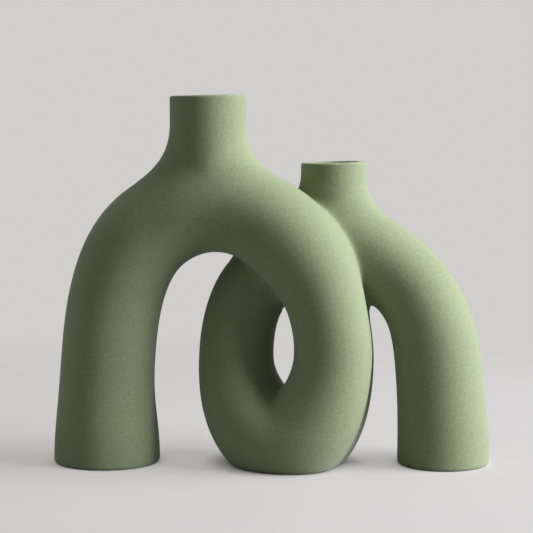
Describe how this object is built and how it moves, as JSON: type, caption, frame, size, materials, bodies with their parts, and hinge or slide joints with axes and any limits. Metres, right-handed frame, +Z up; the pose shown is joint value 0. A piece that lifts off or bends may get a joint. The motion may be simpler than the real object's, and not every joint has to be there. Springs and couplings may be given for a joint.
{
  "type": "vase",
  "caption": "Free-standing hollow stoneware vase of fused arch-shaped vessels, a tall and a short one, each with a foot, an upright neck and an arm that loops round a narrow hole.",
  "frame": {"origin": "on the floor under the middle of the vase's bounding box", "axes": "+X to the right in the picture, from the tall vessel's foot to the short one's; +Y away from the viewer; +Z up"},
  "size_m": [0.2738, 0.093, 0.2295],
  "materials": {
    "clay": "matte, finely sanded sage green clay"
  },
  "bodies": {
    "root": {"tall_neck": "clay", "tall_arch": "clay", "tall_ring": "clay", "tall_foot": "clay", "short_neck": "clay", "short_arch": "clay", "short_ring": "clay", "short_foot": "clay"}
  },
  "joints": []
}
